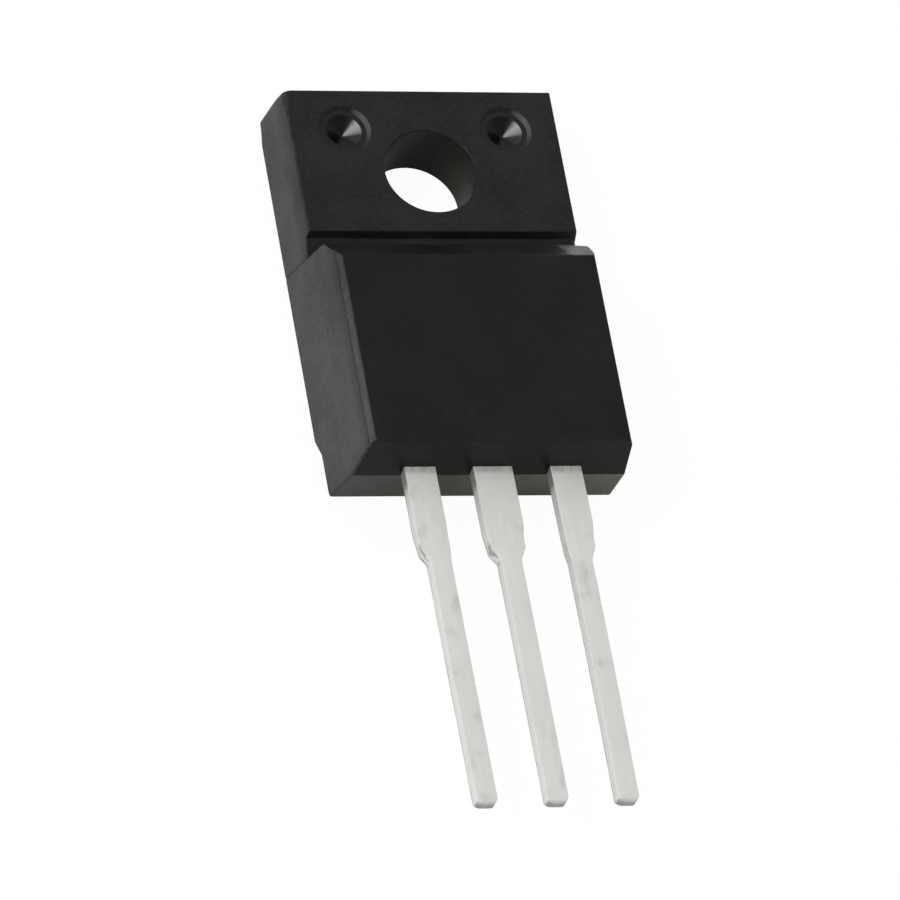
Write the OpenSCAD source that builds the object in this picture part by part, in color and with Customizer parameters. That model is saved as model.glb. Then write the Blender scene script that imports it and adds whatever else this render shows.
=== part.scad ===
// Power transistor in a fully moulded package with three leads.
// The part lies on its flat mounting face: Z = 0 is that face, +Z is the
// front, +Y points to the top of the tab and the leads run towards -Y.
// The origin is on the axis of the mounting hole, on the mounting face.
// All lengths are in millimetres.

/* [Moulded body] */
// Width of the moulding across its back edge
body_width = 10.40; // [9.6:0.05:11.2]
// Thickness of the lower block, from back to front
body_thickness = 4.60; // [4.4:0.05:5.2]
// Lower end of the block at the parting line, below the hole axis
body_bottom = 12.50; // [12.2:0.05:13.5]
// Height of the parting line above the back, where the leads lie
parting_height = 2.57; // [2.45:0.01:2.75]
// Draft of the side walls below the parting line, degrees
side_draft = 4.5; // [0:0.5:6]
// Draft of the side walls above the parting line, degrees
upper_side_draft = 6.5; // [3.5:0.5:10]
// Draft of the lower end wall in front of the leads, degrees
front_end_draft = 5.7; // [0:0.1:12]
// Draft of the lower end wall behind the leads, degrees
back_end_draft = 10.8; // [0:0.1:15]
// Width of the bevel along both sides of the front face
front_bevel_width = 0.15; // [0.05:0.01:0.3]
// Height of the bevel along both sides of the front face
front_bevel_height = 0.15; // [0.05:0.01:0.3]

/* [Mounting tab] */
// Thickness of the tab
tab_thickness = 2.54; // [2.2:0.02:2.8]
// Top of the tab at its back edge, above the hole axis
tab_top = 3.58; // [3.2:0.01:3.8]
// Radius of the tab's two top corners at the back
tab_corner_radius = 0.42; // [0.3:0.01:0.8]
// Chamfer that breaks the tab's front edges
tab_edge_break = 0.15; // [0.05:0.01:0.2]
// Start of the shoulder on the back, below the hole axis
shoulder_start = 2.99; // [2.6:0.01:3.3]
// Lean of the shoulder's wall, degrees
shoulder_lean = 11; // [4:0.5:14]
// Start of the slope on the front of the shoulder, above the back
shoulder_slope_height = 3.53; // [3.2:0.01:4.0]
// End of the slope at the front face, below the hole axis
front_face_top = 4.78; // [4.5:0.02:5.4]
// Start of the groove at the foot of the tab, below the hole axis
groove_start = 2.51; // [2.2:0.01:2.8]
// Length of the groove's steep side
groove_side = 0.16; // [0.05:0.01:0.3]
// Depth of the groove at the foot of its steep side
groove_side_depth = 0.27; // [0.1:0.01:0.3]
// Depth of the groove at the shoulder's wall
groove_depth = 0.44; // [0.32:0.02:0.5]

/* [Mounting hole] */
// Diameter of the mounting hole
hole_diameter = 3.40; // [3.0:0.05:3.6]

/* [Holding pin pits] */
// Distance of each pit from the centre line
pit_x = 3.05; // [2.9:0.05:3.6]
// Distance of the pits above the hole axis
pit_y = 1.77; // [1.5:0.01:2.0]
// Diameter of the shallow ring
pit_ring_diameter = 1.90; // [1.6:0.05:2.1]
// Depth of the shallow ring
pit_ring_depth = 0.10; // [0.05:0.01:0.2]
// Diameter of the cone's mouth
pit_cone_diameter = 1.36; // [1:0.02:1.5]
// Diameter of the cone's flat end
pit_tip_diameter = 0.12; // [0.06:0.02:0.3]
// Depth of the cone below the ring
pit_cone_depth = 0.52; // [0.3:0.02:0.56]

/* [Recess on the back] */
// Depth of the recess across the lowest part of the back
recess_depth = 0.38; // [0.2:0.01:0.42]
// Start of the recess's ramp, below the hole axis
recess_start = 9.60; // [9.2:0.05:10.5]
// Length of the recess's ramp
recess_ramp = 0.85; // [0.4:0.05:1.2]

/* [Leads] */
// Distance between the centres of neighbouring leads
lead_pitch = 2.54; // [2.5:0.01:2.6]
// Thickness of the leads
lead_thickness = 0.50; // [0.4:0.02:0.6]
// Width of the narrow part of each lead
lead_width = 0.75; // [0.6:0.01:0.9]
// End of the leads, below the hole axis
lead_end = 25.62; // [24:0.1:28]
// Width of the centre lead where it leaves the body
centre_wide = 1.43; // [1.2:0.01:1.6]
// Half width of an outer lead on its outer side, near the body
outer_wide = 0.69; // [0.5:0.01:0.8]
// Half width of an outer lead on its inner side, near the body
inner_wide = 0.45; // [0.40:0.01:0.55]
// Start of the steps' taper, below the hole axis
step_start = 15.0; // [14.2:0.1:15.4]
// Length of the taper on the right edge of a lead
step_long = 1.25; // [0.8:0.05:1.8]
// Length of the straight before the taper on the left edge of a lead
step_delay = 0.55; // [0.2:0.05:0.7]
// Length of the taper on the left edge of a lead
step_short = 0.55; // [0.3:0.05:1]
// Chamfer on the corners of the leads' tips
tip_chamfer = 0.14; // [0.05:0.01:0.25]

/* [Header] */
// Thickness of the moulding behind the header
cover_behind = 0.55; // [0.45:0.01:0.65]
// Thickness of the header
header_thickness = 1.20; // [1.0:0.02:1.28]
// Width of the header
header_width = 8.20; // [7.8:0.1:8.6]
// Top ends of the header's two arms, above the hole axis
header_top = 2.40; // [2.2:0.05:2.7]
// Lower end of the header's pad, below the hole axis
header_bottom = 9.30; // [9.0:0.05:9.6]
// Moulding left between the hole and the header's slot
slot_wall = 0.70; // [0.5:0.05:0.8]
// Chamfer on the header's lower corners
header_chamfer = 0.50; // [0.2:0.05:0.8]

/* [Lead posts] */
// Inner side of the outer leads' bond posts, from the centre line
post_inner = 1.60; // [1.4:0.05:1.85]
// Outer side of the outer leads' bond posts, from the centre line
post_outer = 4.00; // [3.6:0.05:4.2]
// Upper end of the bond posts, below the hole axis
post_top = 10.45; // [10.2:0.05:10.6]
// Lower end of the bond posts, below the hole axis
post_bottom = 11.75; // [11.5:0.05:12]

/* [Die and solder] */
// Width of the die
die_width = 3.60; // [3.2:0.1:5]
// Length of the die
die_length = 3.40; // [3:0.1:4]
// Thickness of the die
die_thickness = 0.28; // [0.1:0.01:0.35]
// Centre of the die, below the hole axis
die_centre = 6.60; // [6.5:0.05:6.8]
// Thickness of the solder layer
solder_thickness = 0.06; // [0.04:0.01:0.1]
// Width of solder that shows round the die
solder_margin = 0.12; // [0.05:0.01:0.3]

/* [Bond wires] */
// Diameter of the control wire
control_wire = 0.16; // [0.12:0.01:0.25]
// Diameter of the main wire
main_wire = 0.38; // [0.25:0.01:0.45]
// Radius of the bends of the control wire
control_bend = 0.45; // [0.3:0.01:0.5]
// Radius of the bends of the main wire
main_bend = 0.60; // [0.5:0.01:0.62]
// Straight run down to the post, on both wires
wire_fall = 0.22; // [0.15:0.01:0.25]
// Length of each foot beyond its bond centre
foot_length = 0.32; // [0.2:0.01:0.35]
// Part of a foot's radius that is flattened away
foot_flat = 0.22; // [0.1:0.01:0.3]
// Distance of the control wire's bond in from the die's left edge
control_in = 0.45; // [0.35:0.05:0.6]
// Distance of the main wire's bond from the die's centre line
main_in = 0.70; // [0.4:0.05:0.9]
// Distance of both bonds up from the die's lower edge
bond_up = 0.60; // [0.5:0.05:0.7]

/* [Hidden] */
$fn = 64;
clearance_cut = 1;
half_back = body_width / 2;
half_parting = half_back - parting_height * tan(side_draft);
bevel_base = body_thickness - front_bevel_height;
half_bevel = half_parting - (bevel_base - parting_height) * tan(upper_side_draft);
front_half = half_bevel - front_bevel_width;
tab_top_front = tab_top - tab_thickness * tan(side_draft);
half_tab_front = half_back - tab_thickness * tan(side_draft);
shoulder_wall = shoulder_start + shoulder_slope_height * tan(shoulder_lean);
groove_floor = tab_thickness - groove_depth;
groove_foot = shoulder_start + groove_floor * tan(shoulder_lean);
front_end = body_bottom - (body_thickness - parting_height) * tan(front_end_draft);
recess_end = recess_start + recess_ramp;
back_end = body_bottom - (parting_height - recess_depth) * tan(back_end_draft);
lead_front = parting_height + lead_thickness;
header_front = cover_behind + header_thickness;
slot_half = hole_diameter / 2 + slot_wall;
die_base = header_front + solder_thickness;
die_front = die_base + die_thickness;
neck_rise = parting_height - (header_front - lead_thickness);
bend_shift = lead_thickness * tan(22.5);
wire_lean = 45;
wire_step = 15;
wire_sides = 12;
bond_y = -(die_centre + die_length / 2) + bond_up;
post_y = -(post_top + post_bottom) / 2;
control_post_x = -(post_inner + lead_pitch) / 2 - lead_width / 2;
main_post_x = (post_inner + lead_pitch) / 2 + lead_width / 2;

// Outline of the moulding seen from the side, as [y, z].
function side_outline() = [
    [tab_top, 0],
    [tab_top - (tab_thickness - tab_edge_break) * tan(side_draft), tab_thickness - tab_edge_break],
    [tab_top_front - tab_edge_break, tab_thickness],
    [-groove_start, tab_thickness],
    [-groove_start - groove_side, tab_thickness - groove_side_depth],
    [-groove_foot, groove_floor],
    [-shoulder_wall, shoulder_slope_height],
    [-front_face_top, body_thickness],
    [-front_end, body_thickness],
    [-body_bottom, parting_height],
    [-back_end, recess_depth],
    [-recess_end, recess_depth],
    [-recess_start, 0]
];

// Outline of the moulding seen from its lower end, as [x, z].
function end_outline() = [
    [-half_back, 0],
    [half_back, 0],
    [half_parting, parting_height],
    [half_bevel, bevel_base],
    [front_half, body_thickness],
    [-front_half, body_thickness],
    [-half_bevel, bevel_base],
    [-half_parting, parting_height]
];

// A side outline given as [y, z], extruded across the width w about x = 0.
module across(w) {
    rotate([90, 0, 90])
        translate([0, 0, -w / 2])
            linear_extrude(height = w)
                children();
}

// An end outline given as [x, z], extruded from y0 up to y1.
module along(y0, y1) {
    translate([0, y1, 0])
        rotate([90, 0, 0])
            linear_extrude(height = y1 - y0)
                children();
}

// The waste of a drafted corner fillet. The corner stands at the origin, the
// walls lie towards -X and -Y and lean in with the draft, and the fillet is a
// cone that stays tangent to both: its radius is r at z = 0.
module corner_waste(r, h, draft) {
    difference() {
        translate([-r, -r, -clearance_cut])
            cube([r + clearance_cut, r + clearance_cut, h + clearance_cut]);
        translate([-r, -r, -clearance_cut])
            rotate([0, 0, 225])
                cylinder(r1 = r + clearance_cut * tan(draft), r2 = max(r - h * tan(draft), 0),
                    h = h + clearance_cut);
    }
}

// The drafted moulding, before the hole and the pits are taken out.
module moulding() {
    difference() {
        intersection() {
            across(body_width + 2 * clearance_cut)
                polygon(side_outline());
            along(-body_bottom - clearance_cut, tab_top + clearance_cut)
                polygon(end_outline());
        }
        // Broken side edges of the tab's front.
        for (s = [0, 1])
            mirror([s, 0, 0])
                along(-groove_start - groove_side, tab_top + clearance_cut)
                    polygon([
                        [half_tab_front - tab_edge_break, tab_thickness],
                        [half_tab_front - tab_edge_break, tab_thickness + clearance_cut],
                        [half_tab_front + clearance_cut, tab_thickness + clearance_cut],
                        [half_tab_front + clearance_cut, tab_thickness - tab_edge_break],
                        [half_tab_front + tab_edge_break * tan(side_draft), tab_thickness - tab_edge_break]
                    ]);
        // Rounded top corners of the tab.
        for (s = [0, 1])
            mirror([s, 0, 0])
                translate([half_back, tab_top, 0])
                    corner_waste(tab_corner_radius, tab_thickness + tab_edge_break, side_draft);
    }
}

// One stepped pit, with its mouth at z = 0.
module pit() {
    translate([0, 0, -pit_ring_depth])
        cylinder(d = pit_ring_diameter, h = pit_ring_depth + clearance_cut);
    translate([0, 0, -pit_ring_depth - pit_cone_depth])
        cylinder(d1 = pit_tip_diameter, d2 = pit_cone_diameter, h = pit_cone_depth);
}

// The part of a lead that runs out of the body, about its own centre line:
// l and r are its half widths near the body on the left and on the right.
module lead_strip(l, r, top) {
    n = lead_width / 2;
    translate([0, 0, parting_height])
        linear_extrude(height = lead_thickness)
            polygon([
                [-l, -top],
                [-l, -step_start - step_delay],
                [-n, -step_start - step_delay - step_short],
                [-n, -lead_end + tip_chamfer],
                [-n + tip_chamfer, -lead_end],
                [n - tip_chamfer, -lead_end],
                [n, -lead_end + tip_chamfer],
                [n, -step_start - step_long],
                [r, -step_start],
                [r, -top]
            ]);
}

// An outer lead with its bond post: s is -1 on the left and 1 on the right.
module outer_lead(s) {
    union() {
        translate([s * lead_pitch, 0, 0])
            lead_strip(s < 0 ? outer_wide : inner_wide, s < 0 ? inner_wide : outer_wide, post_bottom);
        translate([s < 0 ? -post_outer : post_inner, -post_bottom, parting_height])
            cube([post_outer - post_inner, post_bottom - post_top, lead_thickness]);
    }
}

// The header: a thick pad with two arms that pass beside the hole, a neck
// that climbs from the pad to the parting line, and the centre lead.
module header_and_lead() {
    ramp_top = header_bottom + lead_thickness;
    ramp_end = ramp_top + neck_rise;
    union() {
        translate([0, 0, cover_behind])
            linear_extrude(height = header_thickness)
                difference() {
                    polygon([
                        [-header_width / 2, header_top],
                        [header_width / 2, header_top],
                        [header_width / 2, -header_bottom + header_chamfer],
                        [header_width / 2 - header_chamfer, -header_bottom],
                        [-header_width / 2 + header_chamfer, -header_bottom],
                        [-header_width / 2, -header_bottom + header_chamfer]
                    ]);
                    circle(r = slot_half);
                    translate([-slot_half, 0])
                        square([2 * slot_half, header_top + clearance_cut]);
                }
        across(centre_wide)
            polygon([
                [-header_bottom, header_front - lead_thickness],
                [-ramp_top + bend_shift, header_front - lead_thickness],
                [-ramp_end + bend_shift, parting_height],
                [-body_bottom, parting_height],
                [-body_bottom, lead_front],
                [-ramp_end, lead_front],
                [-ramp_top, header_front],
                [-header_bottom, header_front]
            ]);
        lead_strip(centre_wide / 2, centre_wide / 2, body_bottom);
    }
}

// Centre line of a bond wire as [u, z, lean] along its length: a foot, a bend
// up, a climb, a bend over the top, a fall, a bend out and the second foot.
function wire_line(bend, span, rise, za, zb) =
    let (
        climb = wire_fall + (zb - za) / sin(wire_lean),
        bend_run = bend * sin(wire_lean),
        bend_rise = bend * (1 - cos(wire_lean)),
        slack = (span - 4 * bend_run - (climb + wire_fall) * cos(wire_lean)) / 2,
        top_u = slack + 2 * bend_run + climb * cos(wire_lean),
        top_z = za + rise + 2 * bend_rise + climb * sin(wire_lean)
    )
    concat(
        [[-foot_length, za + rise, 0]],
        [for (t = [0 : wire_step : wire_lean])
            [slack + bend * sin(t), za + rise + bend * (1 - cos(t)), t]],
        [for (t = [wire_lean : -wire_step : -wire_lean])
            [top_u - bend * sin(t), top_z - bend * (1 - cos(t)), t]],
        [for (t = [-wire_lean : wire_step : 0])
            [span - slack + bend * sin(t), zb + rise + bend * (1 - cos(t)), t]],
        [[span + foot_length, zb + rise, 0]]
    );

// A bond wire of diameter d from point a on the face at height za to point
// b on the face at height zb, with both feet pressed flat on their faces.
module bond_wire(d, bend, a, b, za, zb) {
    span = norm([b[0] - a[0], b[1] - a[1]]);
    turn = atan2(b[1] - a[1], b[0] - a[0]);
    line = wire_line(bend, span, d / 2 * (1 - foot_flat), za, zb);
    n = wire_sides;
    rings = len(line);
    top = [for (k = [0 : rings - 1]) if (line[k][2] == 0) line[k][0]][2];
    points = [
        for (k = [0 : rings - 1], i = [0 : n - 1])
            let (
                side = d / 2 * cos(360 * i / n),
                up = d / 2 * sin(360 * i / n),
                u = line[k][0] - up * sin(line[k][2]),
                z = line[k][1] + up * cos(line[k][2])
            )
            [u, side, max(z, line[k][0] < top ? za : zb)]
    ];
    faces = concat(
        [[for (i = [0 : n - 1]) i]],
        [for (k = [0 : rings - 2], i = [0 : n - 1])
            [k * n + i, (k + 1) * n + i, (k + 1) * n + (i + 1) % n]],
        [for (k = [0 : rings - 2], i = [0 : n - 1])
            [k * n + i, (k + 1) * n + (i + 1) % n, k * n + (i + 1) % n]],
        [[for (i = [n - 1 : -1 : 0]) (rings - 1) * n + i]]
    );
    translate([a[0], a[1], 0])
        rotate([0, 0, turn])
            polyhedron(points = points, faces = faces);
}

module die_block() {
    translate([-die_width / 2, -die_centre - die_length / 2, die_base])
        cube([die_width, die_length, die_thickness]);
}

module solder_block() {
    translate([-die_width / 2 - solder_margin, -die_centre - die_length / 2 - solder_margin, header_front])
        cube([die_width + 2 * solder_margin, die_length + 2 * solder_margin, solder_thickness]);
}

module control_wire_path() {
    bond_wire(control_wire, control_bend, [-die_width / 2 + control_in, bond_y],
        [control_post_x, post_y], die_front, lead_front);
}

module main_wire_path() {
    bond_wire(main_wire, main_bend, [main_in, bond_y],
        [main_post_x, post_y], die_front, lead_front);
}

// Everything that the moulding is cast round.
module cast_in() {
    header_and_lead();
    outer_lead(-1);
    outer_lead(1);
    solder_block();
    die_block();
    control_wire_path();
    main_wire_path();
}

module moulded_body() {
    color([0.13, 0.13, 0.13])
        difference() {
            moulding();
            translate([0, 0, -clearance_cut])
                cylinder(d = hole_diameter, h = tab_thickness + 2 * clearance_cut);
            for (s = [-1, 1])
                translate([s * pit_x, pit_y, tab_thickness])
                    pit();
            cast_in();
        }
}

module header_with_centre_lead() {
    color([0.78, 0.78, 0.76])
        header_and_lead();
}

module left_lead() {
    color([0.78, 0.78, 0.76])
        outer_lead(-1);
}

module right_lead() {
    color([0.78, 0.78, 0.76])
        outer_lead(1);
}

module die() {
    color([0.35, 0.37, 0.42])
        die_block();
}

module die_solder() {
    color([0.55, 0.56, 0.58])
        solder_block();
}

module control_bond_wire() {
    color([0.85, 0.86, 0.88])
        control_wire_path();
}

module main_bond_wire() {
    color([0.85, 0.86, 0.88])
        main_wire_path();
}

moulded_body();
header_with_centre_lead();
left_lead();
right_lead();
die();
die_solder();
control_bond_wire();
main_bond_wire();
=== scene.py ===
"""Looks of a fully moulded three-lead power transistor, lying on its back.

The shapes are surfaces worked out in millimetres with numpy, in the frame of
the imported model, and are turned into metres when they become meshes.
"""
import logging
import math
from dataclasses import dataclass, field
from typing import Union

import bpy
import numpy as np
from mathutils import Matrix, Vector


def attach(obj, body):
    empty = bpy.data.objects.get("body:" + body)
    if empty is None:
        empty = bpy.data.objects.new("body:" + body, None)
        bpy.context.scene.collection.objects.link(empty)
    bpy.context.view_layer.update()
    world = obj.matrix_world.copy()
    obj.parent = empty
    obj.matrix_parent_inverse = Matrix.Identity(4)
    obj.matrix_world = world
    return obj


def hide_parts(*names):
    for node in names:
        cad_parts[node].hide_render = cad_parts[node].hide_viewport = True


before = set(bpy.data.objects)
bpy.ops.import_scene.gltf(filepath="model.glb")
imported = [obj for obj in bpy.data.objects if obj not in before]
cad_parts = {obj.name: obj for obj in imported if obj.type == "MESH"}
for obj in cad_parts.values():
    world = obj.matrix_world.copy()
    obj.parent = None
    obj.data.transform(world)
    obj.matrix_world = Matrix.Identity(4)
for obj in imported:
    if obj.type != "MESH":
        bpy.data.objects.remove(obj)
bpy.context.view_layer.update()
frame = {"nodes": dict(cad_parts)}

LOG = logging.getLogger("power_transistor")
ROOT = "root"
MM = 0.001
WELD_DECIMALS = 5
STATION_DECIMALS = 4
HAIR = 1e-6
HOLD = 0.02
ARC_STEPS = 6
QUARTER_WEIGHT = math.sqrt(0.5)

Array = np.ndarray
Pair = tuple[float, float]
Band = Pair
Triple = tuple[float, float, float]
Colour = tuple[float, float, float, float]
Socket = bpy.types.NodeSocket
Value = Union[Socket, float, tuple]


# Surfaces


@dataclass
class Surface:
    """A bare surface: points in millimetres and the faces between them.

    Args:
        points: Corner positions, one row each.
        quads: Four corner numbers per row.
    """

    points: Array
    quads: Array


def grid_surface(grid: Array, wrap: bool = False, keep: Array | None = None) -> Surface:
    """Joins neighbouring points of a grid into four-cornered faces.

    Face (i, j) has the corners (i, j), (i, j + 1), (i + 1, j + 1), (i + 1, j).

    Args:
        grid: Points as rows by columns by three.
        wrap: Whether the last column joins the first.
        keep: Faces to keep, as rows by columns of truth values.

    Returns:
        The surface.
    """
    rows, columns = grid.shape[:2]
    number = np.arange(rows * columns).reshape(rows, columns)
    across = np.concatenate([number, number[:, :1]], axis=1) if wrap else number
    quads = np.stack([across[:-1, :-1], across[:-1, 1:], across[1:, 1:], across[1:, :-1]], axis=-1)
    chosen = quads.reshape(-1, 4) if keep is None else quads[keep]
    return Surface(grid.reshape(-1, 3), chosen)


def joined(parts: list[Surface]) -> Surface:
    """Puts several surfaces into one list of points and faces."""
    starts = np.cumsum([0] + [len(p.points) for p in parts[:-1]])
    points = np.concatenate([p.points for p in parts])
    quads = np.concatenate([p.quads + s for p, s in zip(parts, starts)])
    return Surface(points, quads)


def welded_triangles(surface: Surface) -> tuple[Array, Array]:
    """Merges points in the same place and drops the faces that this closes up.

    Args:
        surface: Any surface of four-cornered faces.

    Returns:
        The points and the triangles left, wound so that they face outwards.
    """
    rounded_points = np.round(surface.points, WELD_DECIMALS)
    points, index = np.unique(rounded_points, axis=0, return_inverse=True)
    quads = index.reshape(-1)[surface.quads]
    triangles = np.concatenate([quads[:, [0, 1, 2]], quads[:, [0, 2, 3]]])
    a, b, c = triangles.T
    triangles = triangles[(a != b) & (b != c) & (c != a)]
    corners = points[triangles]
    volume = np.einsum("ij,ij->i", corners[:, 0], np.cross(corners[:, 1], corners[:, 2])).sum()
    return points, triangles if volume > 0 else triangles[:, ::-1]


def circle_arcs(start: Array, corner: Array, end: Array, steps: int,
                weight: Array | float = QUARTER_WEIGHT) -> Array:
    """Arcs from start to end with the corner outside them.

    Each is a rational curve of the second degree with the corner as its middle
    point. Weighted by the sine of half the corner's angle, it is a true
    circular arc.

    Args:
        start: Points where the arcs begin, one row each.
        corner: The sharp corners.
        end: Points where the arcs end.
        steps: Points per arc.
        weight: Weight of the corners; a right angle's unless given.

    Returns:
        Arcs by steps by two.
    """
    s = np.linspace(0, 1, steps)[None, :, None]
    near = (1 - s) ** 2
    middle = 2 * weight * s * (1 - s)
    far = s**2
    top = near * start[:, None] + middle * corner[:, None] + far * end[:, None]
    return top / (near + middle + far)


def rounded_line(points: Array, radii: Array, steps: int = ARC_STEPS, ring: bool = False) -> Array:
    """Rounds the corners of a flat line with arcs, and keeps a short straight stretch beside each.

    Args:
        points: Corners, one row of two numbers each.
        radii: Radius at every corner.
        steps: Points per arc.
        ring: Whether the line closes on itself.

    Returns:
        The finer line.
    """
    back = np.roll(points, 1, axis=0) - points
    ahead = np.roll(points, -1, axis=0) - points
    back /= np.linalg.norm(back, axis=1, keepdims=True)
    ahead /= np.linalg.norm(ahead, axis=1, keepdims=True)
    half = np.arccos(np.clip((back * ahead).sum(1), -1, 1)) / 2
    reach = (radii / np.tan(half))[:, None]
    start = points + back * reach
    end = points + ahead * reach
    arcs = circle_arcs(start, points, end, steps, np.sin(half)[:, None, None])
    held = np.concatenate([(start + back * HOLD)[:, None], arcs, (end + ahead * HOLD)[:, None]], axis=1)
    if ring:
        return held.reshape(-1, 2)
    return np.concatenate([points[:1], held[1:-1].reshape(-1, 2), points[-1:]])


def finer_line(points: Array, spacing: float) -> Array:
    """Adds points to a flat line so that none are further apart than spacing.

    The line is measured by its running length, and the new points stand at
    even lengths between the old ones.
    """
    lengths = np.concatenate([[0], np.cumsum(np.linalg.norm(np.diff(points, axis=0), axis=1))])
    extra = np.linspace(0, lengths[-1], int(lengths[-1] / spacing) + 2)
    all_lengths = np.unique(np.concatenate([lengths, extra]))
    return np.stack([np.interp(all_lengths, lengths, points[:, k]) for k in (0, 1)], axis=1)


def rectangle_ring(xs: Array, ys: Array) -> Array:
    """The points round a rectangle, given the columns and rows that it shares."""
    low = np.stack([xs[:-1], np.full(len(xs) - 1, ys[0])], axis=1)
    right = np.stack([np.full(len(ys) - 1, xs[-1]), ys[:-1]], axis=1)
    high = np.stack([xs[:0:-1], np.full(len(xs) - 1, ys[-1])], axis=1)
    left = np.stack([np.full(len(ys) - 1, xs[0]), ys[:0:-1]], axis=1)
    return np.concatenate([low, right, high, left])


def turned_hole(centre: Pair, profile: Array, rim: Array, front_z: float,
                back_z: float | None = None) -> Surface:
    """A turned hole with the flat plate round its mouth, out to a rectangle.

    Every ray from the centre passes through one point of the rectangle. Along
    each ray the surface runs from the rectangle to the mouth, follows the
    profile of radius and height, and, for a through hole, runs out again on
    the back plate. A blind hole ends at its own centre.

    Args:
        centre: The hole's axis.
        profile: Radius and height pairs from the mouth inwards.
        rim: Points of the rectangle.
        front_z: Height of the front plate.
        back_z: Height of the back plate, for a through hole.

    Returns:
        The surface.
    """
    middle = np.array(centre)
    out = rim - middle
    unit = out / np.linalg.norm(out, axis=1, keepdims=True)

    def flat(points: Array, z: float) -> Array:
        """The given points at one height."""
        return np.concatenate([points, np.full((len(points), 1), z)], axis=1)

    def plate(radius: float, z: float) -> list[Array]:
        """The plate in two strips, from the rectangle to the mouth."""
        mouth = middle + unit * (radius + HOLD)
        between = 0.6 * mouth + 0.4 * rim
        return [flat(rim, z), flat(between, z), flat(mouth, z)]

    rows = plate(profile[0, 0], front_z)
    rows += [flat(middle + unit * r, z) for r, z in profile]
    if back_z is not None:
        rows += plate(profile[-1, 0], back_z)[::-1]
    return grid_surface(np.stack(rows), wrap=True)


def make_piece(name: str, surface: Surface, material: bpy.types.Material, slot: str,
               *replaces: str) -> bpy.types.Object:
    """Turns a surface into a smooth piece that rides on the part.

    Args:
        name: The piece's name.
        surface: Its surface in millimetres.
        material: Its finish.
        slot: Name of a material slot; not used.
        replaces: CAD nodes that the piece stands for.

    Returns:
        The object.
    """
    points, triangles = welded_triangles(surface)
    mesh = bpy.data.meshes.new(name)
    mesh.from_pydata(points * MM, [], triangles)
    mesh.polygons.foreach_set("use_smooth", np.ones(len(triangles), dtype=bool))
    mesh.update()
    mesh.materials.append(material)
    piece = bpy.data.objects.new(name, mesh)
    bpy.context.scene.collection.objects.link(piece)
    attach(piece, ROOT)
    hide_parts(*replaces)
    LOG.info("%s: %d points, %d triangles", name, len(points), len(triangles))
    return piece


# Finishes


class Graph:
    """Short ways to add and join the nodes of one tree."""

    def __init__(self, tree: bpy.types.NodeTree) -> None:
        """Empties the tree."""
        self.tree = tree
        tree.nodes.clear()

    def add(self, kind: str, inputs: dict | None = None, **settings: object) -> bpy.types.Node:
        """Adds a node.

        Args:
            kind: The node's type.
            inputs: Outputs, numbers or colours by input name or number.
            settings: The node's properties.

        Returns:
            The node.
        """
        node = self.tree.nodes.new(kind)
        for key, setting in settings.items():
            setattr(node, key, setting)
        for key, value in (inputs or {}).items():
            if isinstance(value, Socket):
                self.tree.links.new(value, node.inputs[key])
            else:
                node.inputs[key].default_value = value
        return node

    def math(self, kind: str, *values: Value) -> Socket:
        """One operation on one or two values."""
        return self.add("ShaderNodeMath", dict(enumerate(values)), operation=kind).outputs[0]

    def product(self, first: Value, *others: Value) -> Socket:
        """All the values multiplied."""
        for other in others:
            first = self.math("MULTIPLY", first, other)
        return first

    def total(self, first: Value, *others: Value) -> Socket:
        """All the values added."""
        for other in others:
            first = self.math("ADD", first, other)
        return first

    def ramp(self, value: Value, band: Band, to: Pair = (0.0, 1.0)) -> Socket:
        """Goes smoothly from one result to another while the value crosses a band."""
        inputs = {"Value": value, "From Min": band[0], "From Max": band[1], "To Min": to[0], "To Max": to[1]}
        return self.add("ShaderNodeMapRange", inputs, interpolation_type="SMOOTHSTEP").outputs["Result"]

    def parts(self, vector: Socket) -> list[Socket]:
        """The three parts of a vector."""
        return list(self.add("ShaderNodeSeparateXYZ", {0: vector}).outputs)


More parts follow.
